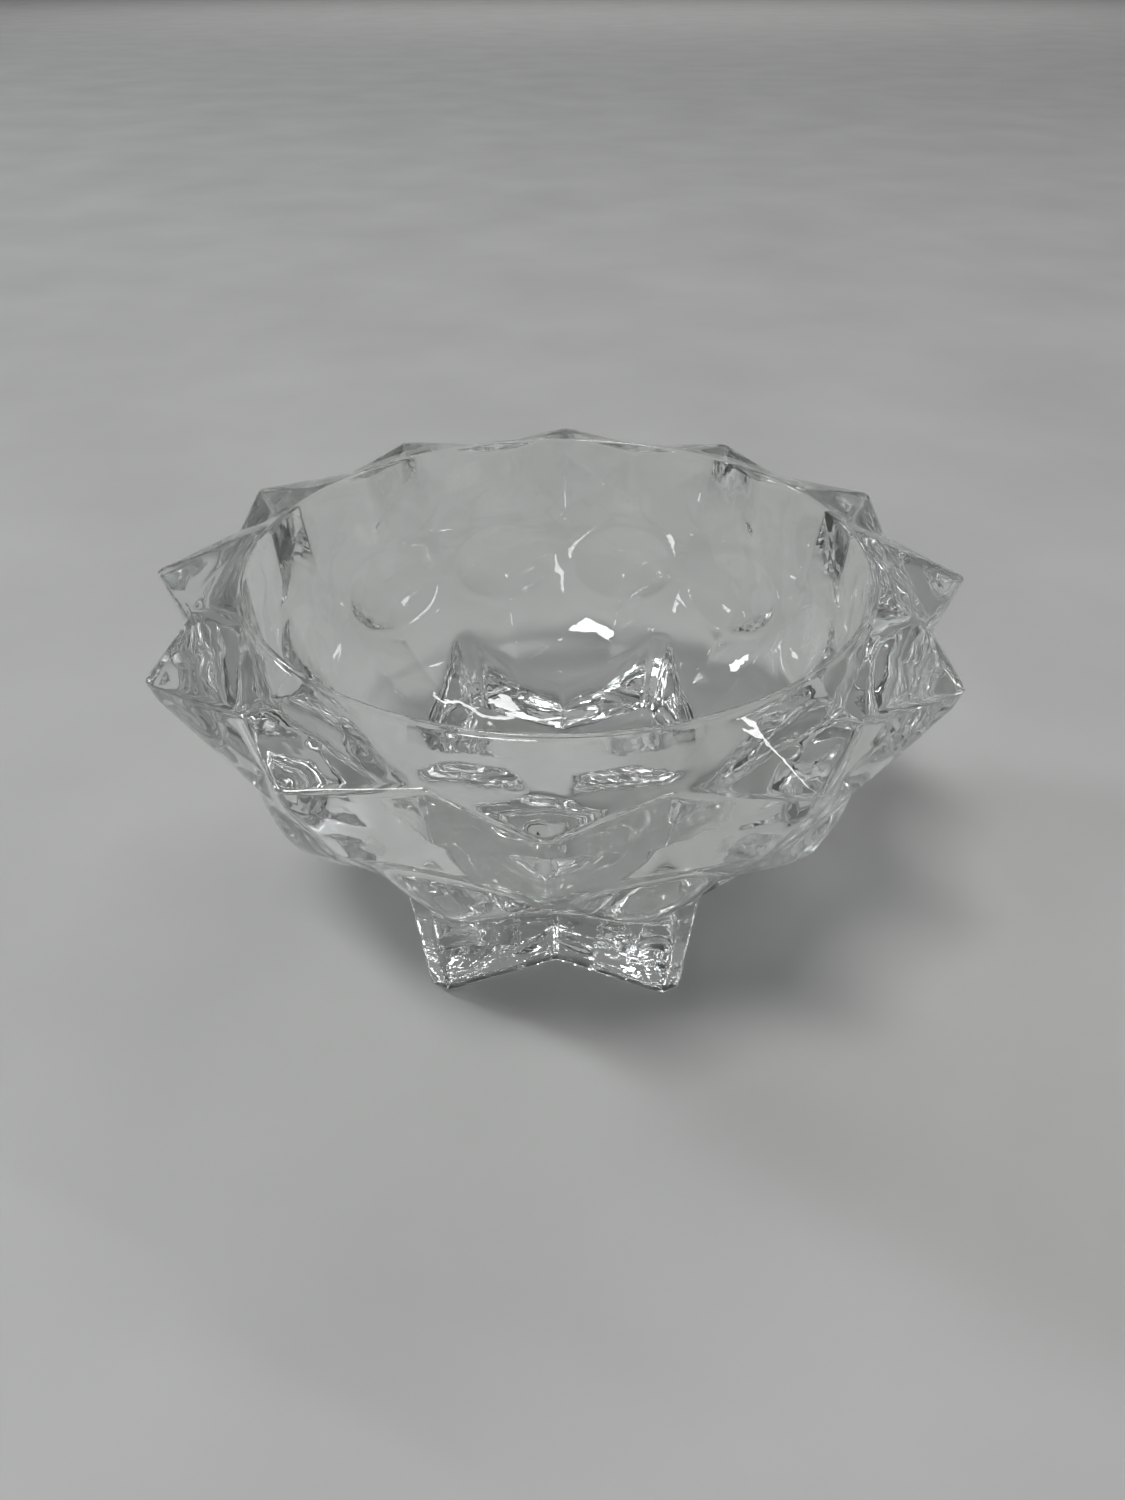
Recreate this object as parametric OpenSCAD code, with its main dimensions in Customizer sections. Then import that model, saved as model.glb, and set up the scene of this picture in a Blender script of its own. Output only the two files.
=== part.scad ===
// Pressed-glass dish with twelve pointed petals, a ring of twelve round bosses and a solid
// six-pointed star foot. The dish is one pressing of clear glass, so it is one node.
// Origin: centre of the star foot's flat underside. +Z is up, and a petal points along +X.

/* [Petals] */
// Number of petals round the bowl
petal_count = 12; // [8:2:16]
// Distance from the axis to a petal's point
petal_reach = 60; // [56:0.5:64]
// Height of a petal's point above the table
petal_top = 56.6; // [55:0.1:58]
// Height of the short blunt edge at a petal's point
petal_nose = 2.9; // [1:0.1:4]
// Distance from the axis to the notch between two petals
notch_reach = 53.3; // [51:0.1:55]
// Depth of the notch between two petals, measured down its inner corner
notch_drop = 9.5; // [8:0.5:12]

// Radius of the crease that runs round the bowl below the petals
crease_radius = 53.1; // [52:0.1:54]
// Height of that crease above the table
crease_height = 42.9; // [42:0.1:44]

/* [Rim] */
// Height of the dish
rim_height = 60; // [59:0.1:62]
// Radius of the opening at the rim
rim_radius = 44.7; // [43:0.1:45.5]
// Width of the narrow edge round the rim
lip_wall = 1; // [0.9:0.1:2]
// Width of the small chamfers that break that edge
lip_chamfer = 0.3; // [0.2:0.05:0.4]

/* [Bowl] */
// Height of the bowl's inner floor at its centre
floor_height = 18.6; // [18:0.2:22]
// How square the inner profile is: 2 is an ellipse, more is straighter walls
bowl_fullness = 2.7; // [2.2:0.1:3]
// Height of the underside of the bowl, where the foot's walls begin
belly_height = 15.5; // [15:0.5:17]
// Radius of the underside of the bowl
belly_radius = 29; // [28:0.5:31]

/* [Bosses] */
// Half the height of a boss where it meets the wall
boss_radius = 7.7; // [6:0.1:8]
// How far a boss stands out of the wall at its middle
boss_height = 2.2; // [1.6:0.1:2.6]

/* [Foot] */
// Number of points on the star foot
star_points = 6; // [4:1:8]
// Distance from the axis to a star point, on the table
star_reach = 36; // [33:0.5:37]
// Distance from the axis to the notch between two star points, on the table
star_notch = 25.2; // [23:0.2:26]
// Width of the small flat that cuts off each star point
star_flat = 3; // [1:0.5:4]
// How far the star points spread outwards up to the foot's top
star_spread = 3.6; // [2:0.2:4]
// How far the grooves between the star points open outwards up to the foot's top
groove_spread = 15; // [8:0.5:15]

/* [Hidden] */

columns = 2 * petal_count;
column_angle = 360 / columns;
lip_outer = rim_radius + lip_wall;
// The foot runs up into the bowl's wall, and the hollow then cuts it to the floor
foot_height = 28;

// Outline of the outside below a petal's point, as [distance from the axis, height],
// from the lip down to the underside
petal_line = [
    [lip_outer - lip_chamfer, rim_height],
    [lip_outer, rim_height - lip_chamfer],
    [petal_reach, petal_top],
    [petal_reach - 0.9, petal_top - petal_nose],
    [crease_radius - 0.4, crease_height - 1.4],
    [0.745 * petal_reach, crease_height - 11.1],
    [0.61 * petal_reach, crease_height - 20.4],
    [belly_radius, belly_height]
];

// Outline of the outside below a notch, where each boss sits
notch_line = [
    [lip_outer - lip_chamfer, rim_height],
    [lip_outer, rim_height - lip_chamfer],
    [notch_reach, petal_top - 0.2],
    [notch_reach - 1.7, petal_top - notch_drop],
    [crease_radius - 0.8, crease_height + 0.9],
    [0.72 * petal_reach, crease_height - 17.1],
    [0.63 * petal_reach, crease_height - 21.9],
    [belly_radius, belly_height]
];

ring_count = len(petal_line);

// Face that a boss stands on: its middle and how far it leans, in the plane of a notch
boss_top = notch_line[4];
boss_bottom = notch_line[5];
boss_middle = (boss_top + boss_bottom) / 2;
boss_lean = atan2(boss_top.x - boss_bottom.x, boss_top.y - boss_bottom.y);
boss_ball = (boss_radius * boss_radius + boss_height * boss_height) / (2 * boss_height);

// Steps in the curve of the inner profile
curve_steps = 18;

function ring_point(ring, column) =
    let (line = column % 2 == 0 ? petal_line : notch_line,
         angle = column * column_angle)
    [line[ring].x * cos(angle), line[ring].x * sin(angle), line[ring].y];

function index(ring, column) = ring * columns + column % columns;

// Two triangles between two rings. A crease always runs from the notch side of the upper ring
// to the petal side of the lower one, which gives each petal its flat lower face.
function facet_pair(ring, column) =
    let (a = index(ring, column), b = index(ring, column + 1),
         c = index(ring + 1, column + 1), d = index(ring + 1, column),
         crease_from_b = column % 2 == 0)
    crease_from_b ? [[a, b, d], [b, c, d]] : [[a, b, c], [a, c, d]];

// Inner half-profile of the bowl: a superellipse quarter from the rim to the floor
function bowl_curve() = [
    for (step = [0:curve_steps])
        let (turn = 90 * step / curve_steps)
        [rim_radius * pow(cos(turn), 2 / bowl_fullness),
         rim_height - (rim_height - floor_height) * pow(sin(turn), 2 / bowl_fullness)]
];

// Faceted outside of the bowl, from the lip to the underside
module outer_body() {
    points = [for (ring = [0:ring_count - 1], column = [0:columns - 1]) ring_point(ring, column)];
    walls = [
        for (ring = [0:ring_count - 2], column = [0:columns - 1])
            each facet_pair(ring, column)
    ];
    lid = [for (column = [columns - 1:-1:0]) index(0, column)];
    underside = [for (column = [0:columns - 1]) index(ring_count - 1, column)];
    polyhedron(points = points, faces = concat(walls, [lid, underside]));
}

// Space inside the bowl, with the chamfer that breaks the lip's inner edge
module hollow() {
    rotate_extrude($fn = 96)
        polygon(concat(
            [[0, rim_height + 1], [rim_radius + lip_chamfer, rim_height + 1],
             [rim_radius + lip_chamfer, rim_height]],
            [for (point = bowl_curve()) if (point.y < rim_height - lip_chamfer) point]
        ));
}

// Balls that stand out of the wall as the ring of bosses, one below each notch. Each ball's
// centre lies straight in from the middle of its face.
module bosses() {
    reach = boss_ball - boss_height;
    for (petal = [0:petal_count - 1])
        rotate([0, 0, (2 * petal + 1) * column_angle])
            translate([
                boss_middle.x - reach * cos(boss_lean),
                0,
                boss_middle.y + reach * sin(boss_lean)
            ])
                sphere(r = boss_ball, $fn = 48);
}

// Corners of the star at a share of the foot's height: each point is cut off by a small flat,
// and the grooves between the points open out towards the top
function star_corners(share) =
    let (step = 360 / star_points,
         flat_turn = asin(star_flat / 2 / star_reach),
         reach = star_reach + star_spread * share,
         groove = star_notch + groove_spread * pow(share, 3),
         z = foot_height * share)
    [
        for (point = [0:star_points - 1])
            each [
                [reach * cos(point * step - flat_turn), reach * sin(point * step - flat_turn), z],
                [reach * cos(point * step + flat_turn), reach * sin(point * step + flat_turn), z],
                [groove * cos((point + 0.5) * step), groove * sin((point + 0.5) * step), z]
            ]
    ];

// Solid star foot, from the table up into the bowl's wall
module foot() {
    levels = 4;
    corners = 3 * star_points;
    function at(level, corner) = level * corners + corner % corners;
    points = [for (level = [0:levels]) each star_corners(level / levels)];
    walls = [
        for (level = [0:levels - 1], corner = [0:corners - 1])
            let (a = at(level + 1, corner), b = at(level + 1, corner + 1),
                 c = at(level, corner + 1), d = at(level, corner))
            each (corner % 3 == 2 ? [[a, b, d], [b, c, d]] : [[a, b, c], [a, c, d]])
    ];
    top = [for (corner = [corners - 1:-1:0]) at(levels, corner)];
    base = [for (corner = [0:corners - 1]) at(0, corner)];
    polyhedron(points = points, faces = concat(walls, [top, base]));
}

module dish() {
    color([0.86, 0.92, 0.9, 0.6])
        difference() {
            union() {
                outer_body();
                foot();
                bosses();
            }
            hollow();
        }
}

dish();
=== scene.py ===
import math

import bpy
import numpy as np
from mathutils import Matrix, Vector


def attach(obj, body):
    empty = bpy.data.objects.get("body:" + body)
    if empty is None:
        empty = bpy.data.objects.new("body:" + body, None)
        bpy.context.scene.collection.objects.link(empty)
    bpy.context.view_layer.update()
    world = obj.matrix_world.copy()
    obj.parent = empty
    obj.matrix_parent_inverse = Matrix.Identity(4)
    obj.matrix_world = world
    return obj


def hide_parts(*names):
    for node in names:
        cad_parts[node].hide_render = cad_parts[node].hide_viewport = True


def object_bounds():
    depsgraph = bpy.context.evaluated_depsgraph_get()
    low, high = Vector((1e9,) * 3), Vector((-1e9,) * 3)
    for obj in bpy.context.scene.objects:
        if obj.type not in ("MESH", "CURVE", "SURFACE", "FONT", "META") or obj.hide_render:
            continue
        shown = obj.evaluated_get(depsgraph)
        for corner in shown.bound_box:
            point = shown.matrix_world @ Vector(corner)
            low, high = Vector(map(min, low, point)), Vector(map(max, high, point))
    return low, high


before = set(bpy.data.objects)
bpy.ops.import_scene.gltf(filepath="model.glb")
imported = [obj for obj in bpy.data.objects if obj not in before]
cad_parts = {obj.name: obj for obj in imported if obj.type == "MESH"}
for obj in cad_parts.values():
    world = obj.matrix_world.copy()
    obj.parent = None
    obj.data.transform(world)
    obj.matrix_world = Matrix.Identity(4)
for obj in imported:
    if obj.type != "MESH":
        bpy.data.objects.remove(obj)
CAD_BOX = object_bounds()

# ---- Sizes: lengths below are shares of REACH unless they say metres ------------------------
LOW, HIGH = CAD_BOX
REACH = (HIGH.x - LOW.x) / 2      # metres from the axis to a petal's point
RIM_HEIGHT = (HIGH.z - LOW.z) / REACH

PETALS = 12
HALF_PETAL = math.pi / PETALS     # angle from a petal's point to the notch beside it
STAR_POINTS = 6
COLUMNS_PER_HALF = 20             # mesh columns from a petal's point to the notch beside it
COLUMNS = 2 * PETALS * COLUMNS_PER_HALF
LIP_ROWS, TOP_ROWS = 8, 16        # mesh rows over the lip, and from it to the petals' tops
INNER_ROWS, UNDER_ROWS = 52, 26   # on the inside, and on the underside of the bowl
FOOT_ROWS, BASE_ROWS = 24, 5      # on the foot's wall, and on its flat base
BASE_HOLE = 0.02                  # radius of the cap in the middle of the base

RIM_RADIUS = 0.745                # radius of the opening
LIP = 0.014                       # width of the lip's half-round top
FLOOR_HEIGHT = 0.31               # inner floor at its centre
BOWL_FULLNESS = 2.7               # superellipse power of the inner profile

# Outside below a petal's point and below a notch: (distance from the axis, height)
PETAL_LINE = [(1.002, 0.944), (0.989, 0.896), (0.878, 0.692), (0.745, 0.530)]
NOTCH_LINE = [(0.888, 0.940), (0.858, 0.785), (0.872, 0.730), (0.720, 0.430)]
WALL_ROWS = [14, 20, 26]          # mesh rows between those corners
# Underside of the bowl from those lines' ends in towards the axis
PETAL_UNDER = [(0.61, 0.375), (0.36, 0.225)]
NOTCH_UNDER = [(0.63, 0.350), (0.36, 0.225)]

STAR_TIP = 0.602                  # foot, on the table
STAR_NOTCH = 0.42
STAR_HALF_FLAT = 0.026            # half the width of the flat that cuts off each point
STAR_FLARE = 0.2                  # growth of the star points per unit of height
GROOVE_TOP, GROOVE_RISE = 0.72, 0.50    # the grooves between the points open out up to here

BOSS_WIDE, BOSS_TALL = 0.172, 0.128     # half-axes of a boss
BOSS_HEIGHT = 0.038
BOSS_EDGE = 0.008                 # softness of a boss's edge
BOSS_NEAR = 0.12                  # a boss moves only points this close to its face

CREASE_PASSES = 1                 # smoothing passes that soften every crease


# ---- Shape ----------------------------------------------------------------------------------
TURN = np.arange(COLUMNS) * (2 * math.pi / COLUMNS)


def folded(period):
    """Angle of each column from the nearest multiple of period."""
    return np.abs((TURN + period / 2) % period - period / 2)


def chord(r0, r1, fold, spread):
    """Distance from the axis, and share of the way, along the straight line from r0 to r1."""
    r = 1 / ((np.sin(spread - fold) / r0 + np.sin(fold) / r1) / math.sin(spread))
    return r, r * np.sin(fold) / (r1 * math.sin(spread))


def ring(petal, notch):
    """One ring that runs straight from each petal's corner to the notch's: r and z by column."""
    r, share = chord(petal[0], notch[0], folded(2 * HALF_PETAL), HALF_PETAL)
    return np.array([r, petal[1] + share * (notch[1] - petal[1])])


def star_wall(z):
    """Distance from the axis to the foot's wall at height z, by column."""
    tip = STAR_TIP * (1 + STAR_FLARE * z)
    notch = STAR_NOTCH + (GROOVE_TOP - STAR_NOTCH) * (z / GROOVE_RISE) ** 3
    fold = folded(2 * math.pi / STAR_POINTS)
    edge = math.atan(STAR_HALF_FLAT / STAR_TIP)
    corner = np.hypot(tip, STAR_HALF_FLAT)
    side, _ = chord(corner, notch, np.maximum(fold - edge, 0), math.pi / STAR_POINTS - edge)
    return np.where(fold < edge, tip / np.cos(fold), side)


def between(start, end, count):
    """Rings from start towards end, without the end."""
    return [start + (end - start) * step / count for step in range(count)]


def along(line, t):
    """The point at t, 0 to 1 by column, on a chain of rings."""
    place = np.clip(t, 0, 1) * (len(line) - 1)
    whole = np.minimum(place.astype(int), len(line) - 2)
    part = place - whole
    stack = np.array(line)
    columns = np.arange(COLUMNS)
    start, end = stack[whole, :, columns].T, stack[whole + 1, :, columns].T
    return start * (1 - part) + end * part


def outer_rings():
    """Outside, from the lip to the middle of the foot's underside."""
    zero = np.zeros(COLUMNS)
    lip_top = np.array([zero + RIM_RADIUS + LIP, zero + RIM_HEIGHT - LIP / 2])
    corners = [ring(p, n) for p, n in zip(PETAL_LINE, NOTCH_LINE)]
    rings = between(lip_top, corners[0], TOP_ROWS)
    for start, end, count in zip(corners, corners[1:], WALL_ROWS):
        rings += between(start, end, count)

    # The underside ends where it meets the foot's wall, found by halving in each column
    under = [corners[-1]] + [ring(p, n) for p, n in zip(PETAL_UNDER, NOTCH_UNDER)]
    inside, outside = zero + 1.0, zero
    for _ in range(30):
        middle = (inside + outside) / 2
        r, z = along(under, middle)
        hits = r > star_wall(z)
        outside = np.where(hits, middle, outside)
        inside = np.where(hits, inside, middle)
    rings += [along(under, inside * step / UNDER_ROWS) for step in range(UNDER_ROWS)]

    top = along(under, inside)[1]
    for step in range(FOOT_ROWS):
        z = top * (1 - step / FOOT_ROWS)
        rings.append(np.array([star_wall(z), z]))
    edge = np.array([star_wall(zero), zero])
    centre = np.array([zero + BASE_HOLE, zero])
    return rings + between(edge, centre, BASE_ROWS) + [centre]


def inner_rings():
    """Inside, from the middle of the floor to the top of the lip's inner face."""
    rings = []
    depth = RIM_HEIGHT - LIP / 2 - FLOOR_HEIGHT
    for step in range(1, INNER_ROWS + 1):
        angle = math.pi / 2 * (1 - step / INNER_ROWS)
        r = RIM_RADIUS * max(math.cos(angle), 1e-9) ** (2 / BOWL_FULLNESS)
        z = RIM_HEIGHT - LIP / 2 - depth * math.sin(angle) ** (2 / BOWL_FULLNESS)
        rings.append(np.array([np.full(COLUMNS, r), np.full(COLUMNS, z)]))
    return rings


def lip_rings():
    """The lip's half-round top."""
    rings = []
    for step in range(1, LIP_ROWS):
        angle = math.pi * step / LIP_ROWS
        r = RIM_RADIUS + LIP / 2 - LIP / 2 * math.cos(angle)
        z = RIM_HEIGHT - LIP / 2 + LIP / 2 * math.sin(angle)
        rings.append(np.array([np.full(COLUMNS, r), np.full(COLUMNS, z)]))
    return rings


def placed(rings):
    """Rings of (r, z) as a grid of points: row, column, xyz."""
    r, z = np.array(rings).transpose(1, 0, 2)
    return np.stack([r * np.cos(TURN), r * np.sin(TURN), z], axis=-1)


def rounded(grid):
    """Moves each point towards the mean of its neighbours, which softens the creases."""
    for _ in range(CREASE_PASSES):
        grid = (np.roll(grid, 1, 1) + 2 * grid + np.roll(grid, -1, 1)) / 4
        inner = (grid[:-2] + 2 * grid[1:-1] + grid[2:]) / 4
        grid = np.concatenate([grid[:1], inner, grid[-1:]])
    return grid


def raise_bosses(grid):
    """Raises the bosses, one below each notch, as low domes on ovals with a soft edge."""
    top, bottom = np.array(NOTCH_LINE[2]), np.array(NOTCH_LINE[3])
    middle = (top + bottom) / 2
    lean = (top - bottom) / np.linalg.norm(top - bottom)
    for k in range(PETALS):
        turn = (2 * k + 1) * HALF_PETAL
        out = np.array([math.cos(turn), math.sin(turn), 0])
        side = np.array([-math.sin(turn), math.cos(turn), 0])
        up = lean[0] * out + np.array([0, 0, lean[1]])
        face = np.cross(side, up)
        face *= np.sign(face @ out)
        away = grid - (middle[0] * out + np.array([0, 0, middle[1]]))
        across, along_wall, above = away @ side, away @ up, away @ face
        # 1 at the middle of the oval, 0 on its edge
        inside = 1 - (across / BOSS_WIDE) ** 2 - (along_wall / BOSS_TALL) ** 2
        dome = (inside + np.sqrt(inside ** 2 + BOSS_EDGE ** 2)) / 2
        near = (np.abs(above) < BOSS_NEAR) & (inside > -1.5)
        grid = grid + (near * dome * BOSS_HEIGHT)[..., None] * face
    return grid


def stitched(grid):
    """Quads between neighbouring rows of the grid; each row closes on itself."""
    rows, columns = grid.shape[:2]
    faces = []
    for row in range(rows - 1):
        a, b = row * columns, (row + 1) * columns
        for c in range(columns):
            d = (c + 1) % columns
            faces.append((a + c, b + c, b + d, a + d))
    return faces


def build_dish():
    """The whole dish as one closed mesh, wound from the bowl's floor over the lip to the base."""
    inner, lip = placed(inner_rings()), placed(lip_rings())
    outer = raise_bosses(rounded(placed(outer_rings())))
    outer[..., 2] = np.maximum(outer[..., 2], 0)
    grid = np.concatenate([inner, lip, outer]) * REACH
    faces = stitched(grid)
    points = grid.reshape(-1, 3)
    rows, columns = grid.shape[:2]
    floor_cap = list(range(columns))
    base_cap = list(range((rows - 1) * columns, rows * columns))[::-1]
    mesh = bpy.data.meshes.new("glass_dish")
    mesh.from_pydata(points.tolist(), [], faces + [floor_cap, base_cap])
    mesh.update()
    mesh.shade_smooth()
    dish = bpy.data.objects.new("glass_dish", mesh)
    bpy.context.scene.collection.objects.link(dish)
    return dish


# ---- Materials ------------------------------------------------------------------------------
def noise(nodes, links, place, scale, detail):
    node = nodes.new("ShaderNodeTexNoise")
    node.inputs["Scale"].default_value = scale
    node.inputs["Detail"].default_value = detail
    links.new(place, node.inputs["Vector"])
    return node


def ramp_of(nodes, links, source, stops):
    """A colour ramp on a value: stops are (position, colour)."""
    node = nodes.new("ShaderNodeValToRGB")
    for element, (position, colour) in zip(node.color_ramp.elements, stops):
        element.position, element.color = position, colour
    links.new(source, node.inputs["Fac"])
    return node


def glass():
    """Clear glass with the slow ripples of a pressed wall, fine chill marks and faint smears."""
    mat = bpy.data.materials.new("clear_glass")
    mat.use_nodes = True
    nodes, links = mat.node_tree.nodes, mat.node_tree.links
    shader = nodes["Principled BSDF"]
    shader.inputs["Transmission Weight"].default_value = 1
    shader.inputs["IOR"].default_value = 1.52
    place = nodes.new("ShaderNodeTexCoord").outputs["Object"]

    tint = noise(nodes, links, place, 9, 2)
    tints = ramp_of(nodes, links, tint.outputs["Fac"],
                    [(0.3, (0.95, 0.968, 0.958, 1)), (0.7, (0.972, 0.984, 0.977, 1))])
    links.new(tints.outputs["Color"], shader.inputs["Base Color"])

    smear = noise(nodes, links, place, 60, 3)
    smears = ramp_of(nodes, links, smear.outputs["Fac"],
                     [(0.55, (0, 0, 0, 1)), (0.9, (0.02, 0.02, 0.02, 1))])
    links.new(smears.outputs["Color"], shader.inputs["Roughness"])

    ripple = noise(nodes, links, place, 80, 1)
    chill = noise(nodes, links, place, 300, 2)
    slow, fine = nodes.new("ShaderNodeBump"), nodes.new("ShaderNodeBump")
    slow.inputs["Strength"].default_value = 1.0
    slow.inputs["Distance"].default_value = 0.0008
    fine.inputs["Strength"].default_value = 1.0
    fine.inputs["Distance"].default_value = 0.00004
    links.new(ripple.outputs["Fac"], slow.inputs["Height"])
    links.new(chill.outputs["Fac"], fine.inputs["Height"])
    links.new(slow.outputs["Normal"], fine.inputs["Normal"])
    links.new(fine.outputs["Normal"], shader.inputs["Normal"])
    return mat


def floor_paint():
    """A pale grey with a faint cloudy tone."""
    mat = bpy.data.materials.new("pale_floor")
    mat.use_nodes = True
    nodes, links = mat.node_tree.nodes, mat.node_tree.links
    shader = nodes["Principled BSDF"]
    place = nodes.new("ShaderNodeTexCoord").outputs["Object"]
    cloud = noise(nodes, links, place, 14, 6)
    clouds = ramp_of(nodes, links, cloud.outputs["Fac"],
                     [(0.3, (0.57, 0.57, 0.56, 1)), (0.7, (0.64, 0.64, 0.63, 1))])
    links.new(clouds.outputs["Color"], shader.inputs["Base Color"])
    shader.inputs["Roughness"].default_value = 0.5
    return mat


# ---- Stage, lights and camera ---------------------------------------------------------------
def add_floor():
    """A plain floor, in metres."""
    size = 6.0
    gap = 0.0002                  # the glass must not lie in the floor's own plane
    mesh = bpy.data.meshes.new("floor")
    corners = [(-size, -size, -gap), (size, -size, -gap), (size, size, -gap), (-size, size, -gap)]
    mesh.from_pydata(corners, [], [(0, 1, 2, 3)])
    floor = bpy.data.objects.new("floor", mesh)
    mesh.materials.append(floor_paint())
    bpy.context.scene.collection.objects.link(floor)


def add_light(name, place, width, height, power, colour=(1, 1, 1), target=(0, 0, 0)):
    """A rectangular light, in metres and watts, turned towards the target."""
    data = bpy.data.lights.new(name, "AREA")
    data.shape = "RECTANGLE"
    data.size, data.size_y = width, height
    data.energy = power
    data.color = colour
    light = bpy.data.objects.new(name, data)
    light.location = place
    light.rotation_euler = (Vector(target) - Vector(place)).to_track_quat("-Z", "Y").to_euler()
    bpy.context.scene.collection.objects.link(light)
    return data


def add_room():
    """A room with a bright ceiling and dark walls, which draw the glass's edges."""
    world = bpy.data.worlds.new("room")
    bpy.context.scene.world = world
    world.use_nodes = True
    nodes, links = world.node_tree.nodes, world.node_tree.links
    direction = nodes.new("ShaderNodeTexCoord")
    split = nodes.new("ShaderNodeSeparateXYZ")
    links.new(direction.outputs["Generated"], split.inputs["Vector"])
    ramp = ramp_of(nodes, links, split.outputs["Z"],
                   [(0.15, (0.025, 0.027, 0.026, 1)), (1.0, (0.26, 0.265, 0.265, 1))])
    links.new(ramp.outputs["Color"], nodes["Background"].inputs["Color"])
    nodes["Background"].inputs["Strength"].default_value = 1.0


def add_lights():
    add_light("window", (-2.2, 0.8, 1.3), 0.35, 0.6, 14, (0.92, 0.97, 1))
    add_light("ceiling", (-0.5, -0.7, 2.2), 0.8, 0.4, 21)
    far = add_light("far_floor", (0, 2.8, 2.2), 3.0, 0.6, 6, target=(0, 2.8, 0))
    far.spread = math.radians(80)     # lights the floor behind, and stays out of the glass
    add_light("lamp", (0.5, 1.1, 1.9), 1.2, 0.08, 4)
    add_room()


def add_camera():
    """A phone's wide lens in front of the dish, turned about 37 degrees down."""
    pitch, roll, swing = math.radians(36.90), math.radians(-0.14), math.radians(1.27)
    data = bpy.data.cameras.new("camera")
    data.sensor_width, data.lens = 36.0, 25.92      # millimetres
    data.clip_start = 0.01
    camera = bpy.data.objects.new("camera", data)
    place = Matrix.Rotation(swing, 4, "Z") @ Vector((0.010, -2.398, 2.198)) * REACH
    turn = (
        Matrix.Rotation(swing, 4, "Z")
        @ Matrix.Rotation(math.pi / 2 - pitch, 4, "X")
        @ Matrix.Rotation(roll, 4, "Z")
    )
    camera.matrix_world = Matrix.Translation(place) @ turn
    bpy.context.scene.collection.objects.link(camera)
    bpy.context.scene.camera = camera


add_camera()
add_floor()
add_lights()

dish = build_dish()
dish.data.materials.append(glass())
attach(dish, "root")
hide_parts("dish")

bpy.context.scene.view_settings.view_transform = "Standard"
bpy.context.scene.cycles.max_bounces = 24
bpy.context.scene.cycles.transmission_bounces = 24
bpy.context.scene.cycles.glossy_bounces = 12
